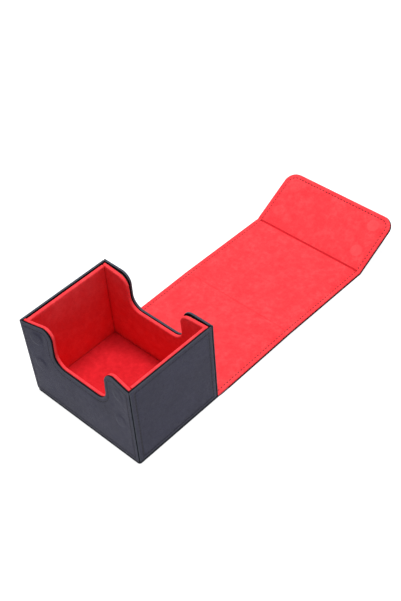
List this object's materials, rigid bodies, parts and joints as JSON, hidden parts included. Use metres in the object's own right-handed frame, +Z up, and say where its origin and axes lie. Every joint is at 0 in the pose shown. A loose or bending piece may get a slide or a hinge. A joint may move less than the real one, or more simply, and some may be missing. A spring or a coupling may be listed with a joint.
{
  "type": "card deck box",
  "caption": "Side-loading card deck box: suede-lined leather tray with finger scoops and a folding three-panel magnetic cover, lying open.",
  "frame": {"origin": "middle of the tray's underside, on the surface that the box stands on", "axes": "+Z up out of the tray; -Y faces the front wall, where the closed flap lies; +Y is the way that the open cover lies"},
  "size_m": [0.1076, 0.2932, 0.0735],
  "materials": {
    "charcoal_leather": "charcoal PU leather with fine pebble grain and edge stitching, soft sheen",
    "red_suede": "bright red microfibre suede, matt with a mottled nap",
    "greyboard": "bare grey bookbinding board",
    "magnet": "nickel-plated disc magnet"
  },
  "bodies": {
    "tray": {"base_cover": "charcoal_leather", "base_board": "greyboard", "floor_board": "greyboard", "floor_suede": "red_suede", "front_wall_cover": "charcoal_leather", "front_wall_board": "greyboard", "front_liner_board": "greyboard", "front_liner_suede": "red_suede", "back_wall_cover": "charcoal_leather", "back_wall_board": "greyboard", "back_liner_board": "greyboard", "back_liner_suede": "red_suede", "left_wall_cover": "charcoal_leather", "left_wall_board": "greyboard", "left_liner_board": "greyboard", "left_liner_suede": "red_suede", "right_wall_cover": "charcoal_leather", "right_wall_board": "greyboard", "right_liner_board": "greyboard", "right_liner_suede": "red_suede", "wall_magnet_left_upper": "magnet", "wall_magnet_left_lower": "magnet", "wall_magnet_right_upper": "magnet", "wall_magnet_right_lower": "magnet"},
    "back_cover": {"back_cover_leather": "charcoal_leather", "back_cover_board": "greyboard", "back_cover_lining": "red_suede"},
    "top_cover": {"top_cover_leather": "charcoal_leather", "top_cover_board": "greyboard", "top_cover_lining": "red_suede"},
    "front_flap": {"front_flap_leather": "charcoal_leather", "front_flap_board": "greyboard", "front_flap_lining": "red_suede", "flap_magnet_left_inner": "magnet", "flap_magnet_left_outer": "magnet", "flap_magnet_right_inner": "magnet", "flap_magnet_right_outer": "magnet"}
  },
  "joints": [
    {"name": "back_cover_fold", "type": "hinge", "parent": "tray", "child": "back_cover", "pos_m": [0, 0.0429, 0.0004], "axis": [1, 0, 0], "range_deg": [0, 89]},
    {"name": "top_cover_fold", "type": "hinge", "parent": "back_cover", "child": "top_cover", "pos_m": [0, 0.11929, 0.00173], "axis": [1, 0, 0], "range_deg": [0, 91.8]},
    {"name": "front_flap_fold", "type": "hinge", "parent": "top_cover", "child": "front_flap", "pos_m": [0, 0.20748, 0.00045], "axis": [1, 0, 0], "range_deg": [-28, 63.5]}
  ]
}
